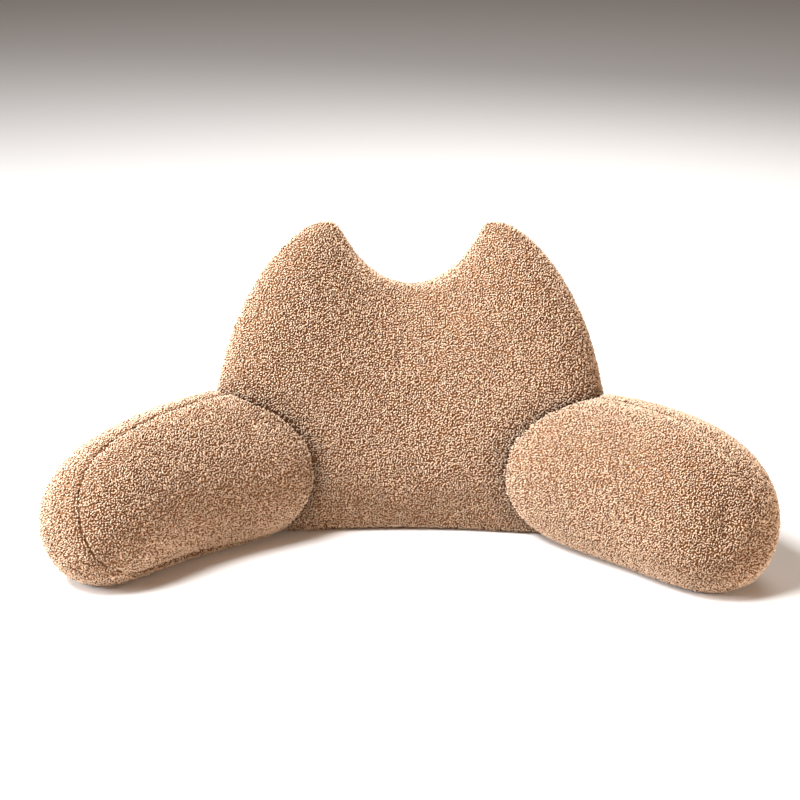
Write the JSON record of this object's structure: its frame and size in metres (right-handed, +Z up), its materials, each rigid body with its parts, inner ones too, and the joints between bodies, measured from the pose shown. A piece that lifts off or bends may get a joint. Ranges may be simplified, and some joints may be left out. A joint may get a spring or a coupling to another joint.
{
  "type": "backrest pillow",
  "caption": "Teddy fleece backrest pillow: a crowned back with ear-shaped peaks and bolster arms that reach forward beside the person who sits in it.",
  "frame": {"origin": "on the floor, under the middle of the bounding box", "axes": "+X to the pillow's own left as it faces the viewer, -Y the way the back faces and the arms reach, +Z up"},
  "size_m": [0.9406, 0.3952, 0.4059],
  "materials": {
    "back_fleece": "looped teddy fleece, matt with a soft pale bloom at its edges",
    "arm_left_fleece": "looped teddy fleece, matt with a soft pale bloom at its edges",
    "arm_right_fleece": "looped teddy fleece, matt with a soft pale bloom at its edges"
  },
  "bodies": {
    "root": {"back_cushion": "back_fleece", "arm_left": "arm_left_fleece", "arm_right": "arm_right_fleece"}
  },
  "joints": []
}
